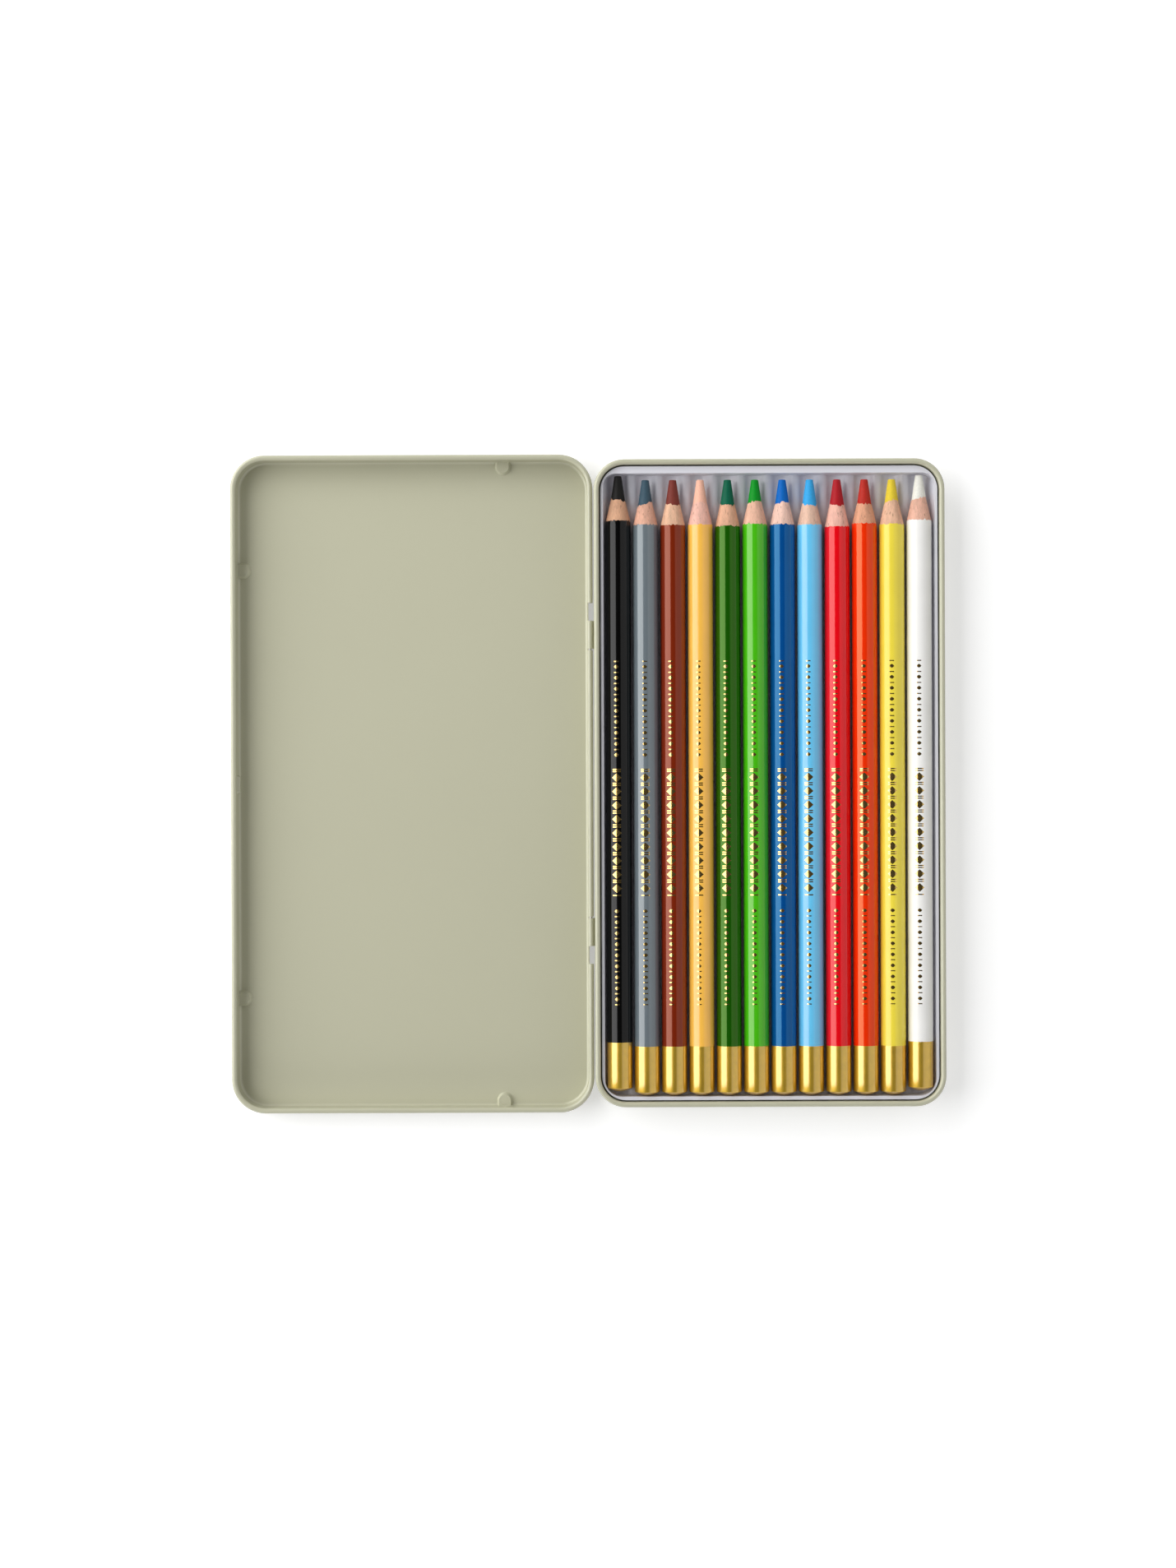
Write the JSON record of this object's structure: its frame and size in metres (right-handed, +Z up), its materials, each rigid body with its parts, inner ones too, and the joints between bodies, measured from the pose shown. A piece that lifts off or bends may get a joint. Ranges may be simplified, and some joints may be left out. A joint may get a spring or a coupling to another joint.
{
  "type": "coloured pencil box",
  "caption": "Flat hinged tin lying open, with a formed plastic tray and a row of sharpened round coloured pencils, each with a painted barrel and a gold end.",
  "frame": {"origin": "middle of the base tin's underside, on the surface it lies on", "axes": "+Z up, +X from the lid across the hinge to the base, +Y along the pencils towards their tips"},
  "size_m": [0.2017, 0.1862, 0.0111],
  "materials": {
    "sage_enamel": "satin",
    "wire_steel": "satin",
    "tray_plastic": "satin",
    "casing_wood": "matt",
    "gold_paint": "gloss",
    "lacquer_black": "gloss",
    "core_black": "waxy",
    "lacquer_slate": "gloss",
    "core_slate": "waxy",
    "lacquer_brown": "gloss",
    "core_brown": "waxy",
    "lacquer_apricot": "gloss",
    "core_apricot": "waxy",
    "lacquer_dark_green": "gloss",
    "core_dark_green": "waxy",
    "lacquer_leaf_green": "gloss",
    "core_leaf_green": "waxy",
    "lacquer_dark_blue": "gloss",
    "core_dark_blue": "waxy",
    "lacquer_sky_blue": "gloss",
    "core_sky_blue": "waxy",
    "lacquer_red": "gloss",
    "core_red": "waxy",
    "lacquer_orange_red": "gloss",
    "core_orange_red": "waxy",
    "lacquer_yellow": "gloss",
    "core_yellow": "waxy",
    "lacquer_white": "gloss",
    "core_white": "waxy"
  },
  "bodies": {
    "base": {"base_tin": "sage_enamel", "hinge_wire": "wire_steel"},
    "lid": {"lid_tin": "sage_enamel"},
    "tray": {"pencil_tray": "tray_plastic"},
    "pencil_01": {"pencil_01_casing": "casing_wood", "pencil_01_core": "core_black", "pencil_01_lacquer": "lacquer_black", "pencil_01_gold_dip": "gold_paint"},
    "pencil_02": {"pencil_02_casing": "casing_wood", "pencil_02_core": "core_slate", "pencil_02_lacquer": "lacquer_slate", "pencil_02_gold_dip": "gold_paint"},
    "pencil_03": {"pencil_03_casing": "casing_wood", "pencil_03_core": "core_brown", "pencil_03_lacquer": "lacquer_brown", "pencil_03_gold_dip": "gold_paint"},
    "pencil_04": {"pencil_04_casing": "casing_wood", "pencil_04_core": "core_apricot", "pencil_04_lacquer": "lacquer_apricot", "pencil_04_gold_dip": "gold_paint"},
    "pencil_05": {"pencil_05_casing": "casing_wood", "pencil_05_core": "core_dark_green", "pencil_05_lacquer": "lacquer_dark_green", "pencil_05_gold_dip": "gold_paint"},
    "pencil_06": {"pencil_06_casing": "casing_wood", "pencil_06_core": "core_leaf_green", "pencil_06_lacquer": "lacquer_leaf_green", "pencil_06_gold_dip": "gold_paint"},
    "pencil_07": {"pencil_07_casing": "casing_wood", "pencil_07_core": "core_dark_blue", "pencil_07_lacquer": "lacquer_dark_blue", "pencil_07_gold_dip": "gold_paint"},
    "pencil_08": {"pencil_08_casing": "casing_wood", "pencil_08_core": "core_sky_blue", "pencil_08_lacquer": "lacquer_sky_blue", "pencil_08_gold_dip": "gold_paint"},
    "pencil_09": {"pencil_09_casing": "casing_wood", "pencil_09_core": "core_red", "pencil_09_lacquer": "lacquer_red", "pencil_09_gold_dip": "gold_paint"},
    "pencil_10": {"pencil_10_casing": "casing_wood", "pencil_10_core": "core_orange_red", "pencil_10_lacquer": "lacquer_orange_red", "pencil_10_gold_dip": "gold_paint"},
    "pencil_11": {"pencil_11_casing": "casing_wood", "pencil_11_core": "core_yellow", "pencil_11_lacquer": "lacquer_yellow", "pencil_11_gold_dip": "gold_paint"},
    "pencil_12": {"pencil_12_casing": "casing_wood", "pencil_12_core": "core_white", "pencil_12_lacquer": "lacquer_white", "pencil_12_gold_dip": "gold_paint"}
  },
  "joints": [
    {"name": "lid_hinge", "type": "hinge", "parent": "base", "child": "lid", "pos_m": [-0.05051, 0, 0.0064], "axis": [0, -1, 0], "range_deg": [-180, 0]},
    {"name": "tray_lift", "type": "slide", "parent": "base", "child": "tray", "axis": [0, 0, 1], "range_m": [0, 0.03]},
    {"name": "pencil_01_lift", "type": "slide", "parent": "tray", "child": "pencil_01", "axis": [0, 0, 1], "range_m": [0, 0.03]},
    {"name": "pencil_02_lift", "type": "slide", "parent": "tray", "child": "pencil_02", "axis": [0, 0, 1], "range_m": [0, 0.03]},
    {"name": "pencil_03_lift", "type": "slide", "parent": "tray", "child": "pencil_03", "axis": [0, 0, 1], "range_m": [0, 0.03]},
    {"name": "pencil_04_lift", "type": "slide", "parent": "tray", "child": "pencil_04", "axis": [0, 0, 1], "range_m": [0, 0.03]},
    {"name": "pencil_05_lift", "type": "slide", "parent": "tray", "child": "pencil_05", "axis": [0, 0, 1], "range_m": [0, 0.03]},
    {"name": "pencil_06_lift", "type": "slide", "parent": "tray", "child": "pencil_06", "axis": [0, 0, 1], "range_m": [0, 0.03]},
    {"name": "pencil_07_lift", "type": "slide", "parent": "tray", "child": "pencil_07", "axis": [0, 0, 1], "range_m": [0, 0.03]},
    {"name": "pencil_08_lift", "type": "slide", "parent": "tray", "child": "pencil_08", "axis": [0, 0, 1], "range_m": [0, 0.03]},
    {"name": "pencil_09_lift", "type": "slide", "parent": "tray", "child": "pencil_09", "axis": [0, 0, 1], "range_m": [0, 0.03]},
    {"name": "pencil_10_lift", "type": "slide", "parent": "tray", "child": "pencil_10", "axis": [0, 0, 1], "range_m": [0, 0.03]},
    {"name": "pencil_11_lift", "type": "slide", "parent": "tray", "child": "pencil_11", "axis": [0, 0, 1], "range_m": [0, 0.03]},
    {"name": "pencil_12_lift", "type": "slide", "parent": "tray", "child": "pencil_12", "axis": [0, 0, 1], "range_m": [0, 0.03]}
  ]
}
